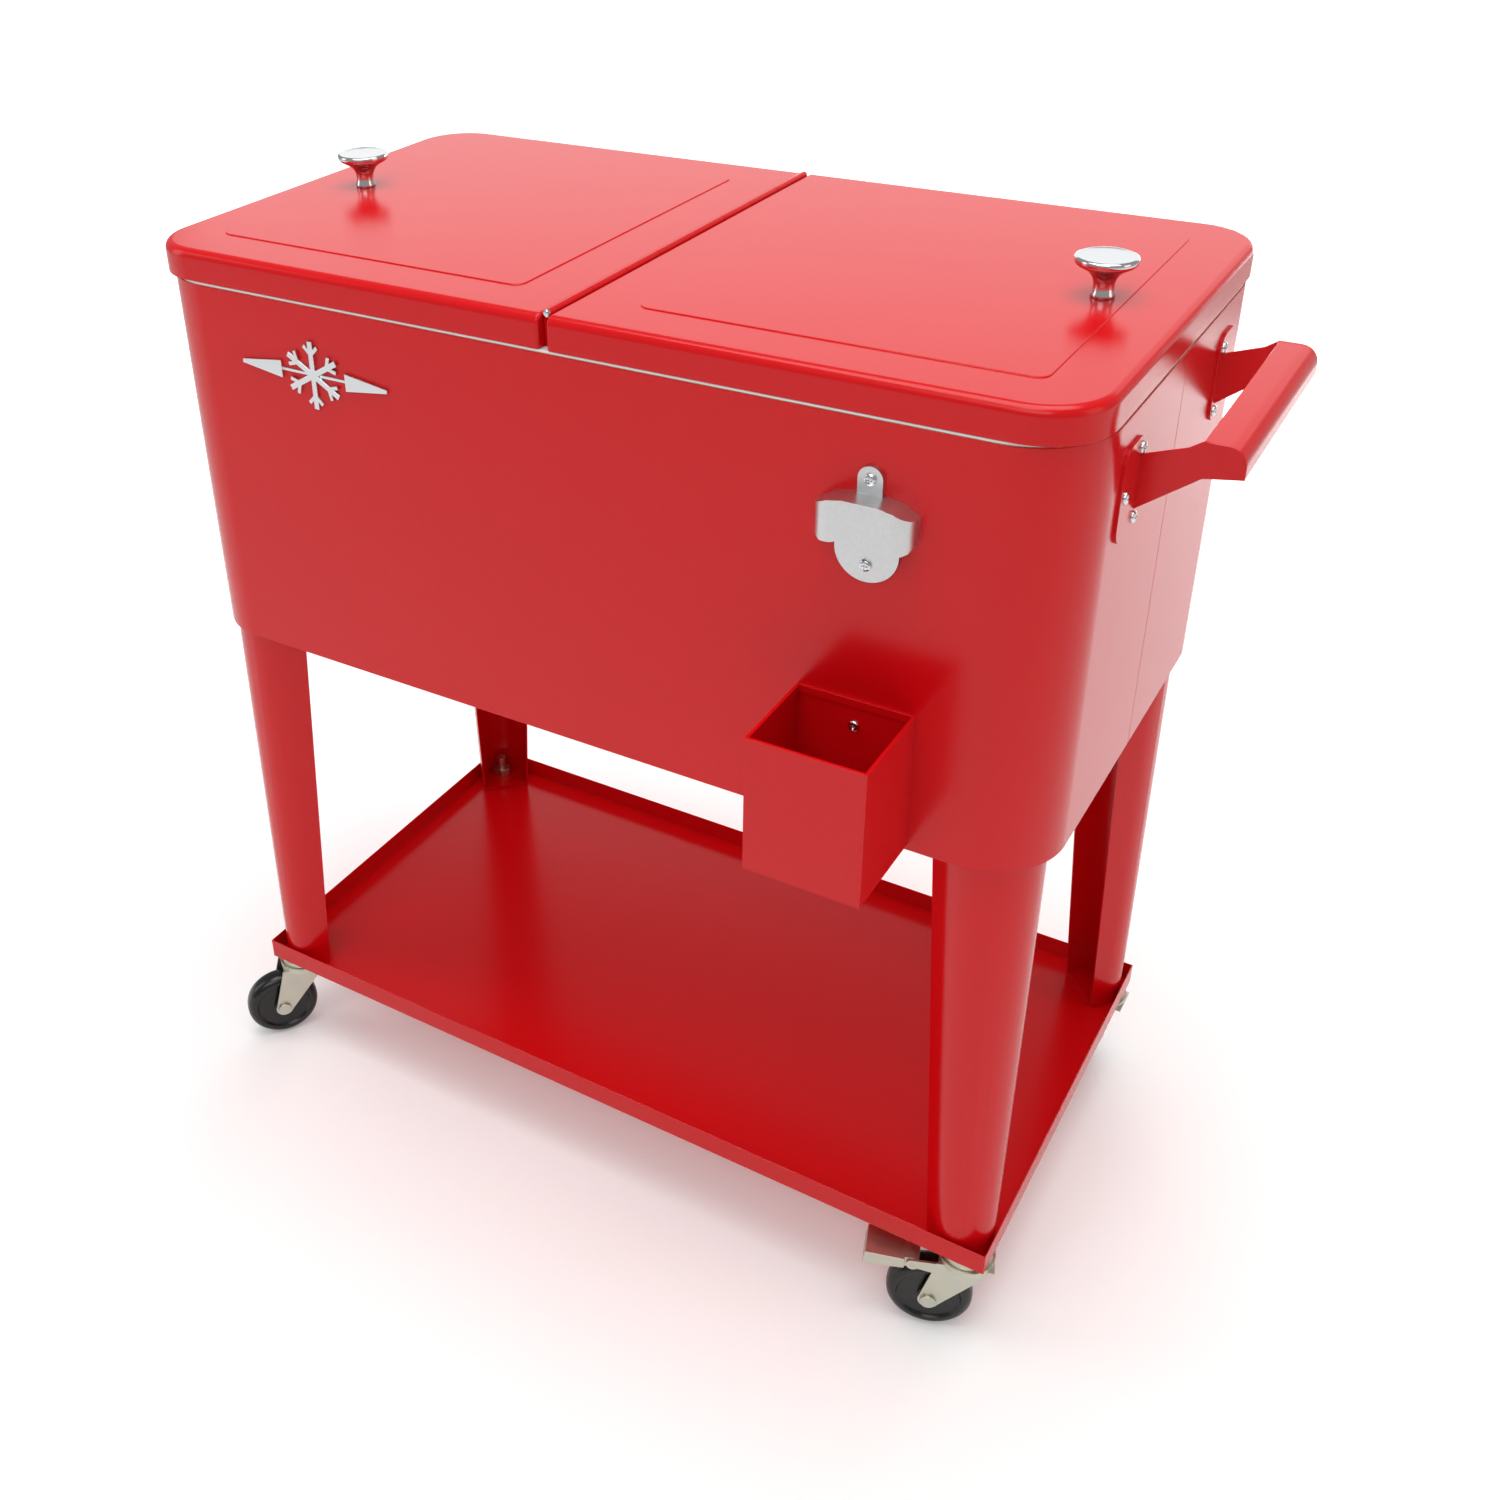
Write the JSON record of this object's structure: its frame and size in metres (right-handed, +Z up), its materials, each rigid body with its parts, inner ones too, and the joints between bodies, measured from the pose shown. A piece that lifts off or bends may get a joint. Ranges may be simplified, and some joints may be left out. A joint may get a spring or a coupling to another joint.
{
  "type": "patio cooler cart",
  "caption": "Insulated steel cooler chest on tapered legs with swivel casters, centre-hinged lids with knobs, shelf tray, end handles, bottle opener and cap catcher.",
  "frame": {"origin": "on the floor under the middle of the whole cart's plan, midway between its front and rear overhangs", "axes": "+X to the cart's right-hand end, +Y to the rear, +Z up"},
  "size_m": [0.88, 0.508, 0.8463],
  "materials": {
    "red_paint": "gloss red powder coat over steel",
    "white_liner": "moulded white plastic",
    "insulation": "foamed insulation, hidden",
    "chrome": "bright chrome plate",
    "cast_alloy": "satin cast alloy",
    "zinc_steel": "zinc-plated pressed steel",
    "black_wheel": "black moulded wheel",
    "white_drain": "moulded white drain parts"
  },
  "bodies": {
    "root": {"shell_front": "red_paint", "shell_rear": "red_paint", "shell_floor": "red_paint", "foam_core": "insulation", "liner": "white_liner", "hinge_beam": "red_paint", "hinge_rod": "chrome", "badge": "chrome", "bottle_opener": "cast_alloy", "opener_screws": "chrome", "cap_catcher": "red_paint", "catcher_screw": "chrome", "handle_arm_left_front": "red_paint", "handle_arm_left_rear": "red_paint", "handle_arm_right_front": "red_paint", "handle_arm_right_rear": "red_paint", "handle_grip_left": "red_paint", "handle_grip_right": "red_paint", "handle_screws": "chrome", "leg_front_left": "red_paint", "leg_front_right": "red_paint", "leg_rear_left": "red_paint", "leg_rear_right": "red_paint", "leg_screws": "zinc_steel", "tray": "red_paint", "caster_nuts": "zinc_steel", "drain_fitting": "white_drain", "drain_nut": "white_drain", "caster_mount_front_left": "zinc_steel", "caster_mount_front_right": "zinc_steel", "caster_mount_rear_left": "zinc_steel", "caster_mount_rear_right": "zinc_steel"},
    "lid_left": {"lid_left_shell": "red_paint", "lid_left_liner": "white_liner", "lid_left_foam": "insulation", "lid_left_hinge": "red_paint", "lid_left_knob": "chrome", "lid_left_screw": "zinc_steel"},
    "lid_right": {"lid_right_shell": "red_paint", "lid_right_liner": "white_liner", "lid_right_foam": "insulation", "lid_right_hinge": "red_paint", "lid_right_knob": "chrome", "lid_right_screw": "zinc_steel"},
    "caster_front_left": {"caster_fork_front_left": "zinc_steel", "caster_axle_front_left": "zinc_steel"},
    "wheel_front_left": {"caster_wheel_front_left": "black_wheel"},
    "caster_front_right": {"caster_fork_front_right": "zinc_steel", "caster_axle_front_right": "zinc_steel"},
    "wheel_front_right": {"caster_wheel_front_right": "black_wheel"},
    "caster_rear_left": {"caster_fork_rear_left": "zinc_steel", "caster_axle_rear_left": "zinc_steel"},
    "wheel_rear_left": {"caster_wheel_rear_left": "black_wheel"},
    "caster_rear_right": {"caster_fork_rear_right": "zinc_steel", "caster_axle_rear_right": "zinc_steel"},
    "wheel_rear_right": {"caster_wheel_rear_right": "black_wheel"},
    "brake_front_right": {"brake_front_right": "zinc_steel"},
    "brake_rear_right": {"brake_rear_right": "zinc_steel"},
    "drain_cap": {"drain_cap": "white_drain"}
  },
  "joints": [
    {"name": "lid_left_hinge", "type": "hinge", "parent": "root", "child": "lid_left", "pos_m": [0, 0.026, 0.817], "axis": [0, 1, 0], "range_deg": [0, 168]},
    {"name": "lid_right_hinge", "type": "hinge", "parent": "root", "child": "lid_right", "pos_m": [0, 0.026, 0.817], "axis": [0, 1, 0], "range_deg": [-168, 0]},
    {"name": "swivel_front_left", "type": "hinge", "parent": "root", "child": "caster_front_left", "pos_m": [-0.3505, -0.1485, 0.084], "axis": [0, 0, 1], "continuous": true},
    {"name": "roll_front_left", "type": "hinge", "parent": "caster_front_left", "child": "wheel_front_left", "pos_m": [-0.36712, -0.16978, 0.035], "axis": [-0.788, 0.6157, 0], "continuous": true},
    {"name": "swivel_front_right", "type": "hinge", "parent": "root", "child": "caster_front_right", "pos_m": [0.3505, -0.1485, 0.084], "axis": [0, 0, 1], "continuous": true},
    {"name": "roll_front_right", "type": "hinge", "parent": "caster_front_right", "child": "wheel_front_right", "pos_m": [0.32482, -0.15684, 0.035], "axis": [-0.309, 0.9511, 0], "continuous": true},
    {"name": "swivel_rear_left", "type": "hinge", "parent": "root", "child": "caster_rear_left", "pos_m": [-0.3505, 0.2005, 0.084], "axis": [0, 0, 1], "continuous": true},
    {"name": "roll_rear_left", "type": "hinge", "parent": "caster_rear_left", "child": "wheel_rear_left", "pos_m": [-0.3775, 0.2005, 0.035], "axis": [0, 1, 0], "continuous": true},
    {"name": "swivel_rear_right", "type": "hinge", "parent": "root", "child": "caster_rear_right", "pos_m": [0.3505, 0.2005, 0.084], "axis": [0, 0, 1], "continuous": true},
    {"name": "roll_rear_right", "type": "hinge", "parent": "caster_rear_right", "child": "wheel_rear_right", "pos_m": [0.3235, 0.2005, 0.035], "axis": [0, 1, 0], "continuous": true},
    {"name": "brake_pedal_front_right", "type": "hinge", "parent": "caster_front_right", "child": "brake_front_right", "pos_m": [0.31056, -0.16148, 0.0735], "axis": [0.309, -0.9511, 0], "range_deg": [0, 12]},
    {"name": "brake_pedal_rear_right", "type": "hinge", "parent": "caster_rear_right", "child": "brake_rear_right", "pos_m": [0.3085, 0.2005, 0.0735], "axis": [0, -1, 0], "range_deg": [0, 12]},
    {"name": "drain_cap_off", "type": "slide", "parent": "root", "child": "drain_cap", "axis": [0, 1, 0], "range_m": [0, 0.024]}
  ]
}
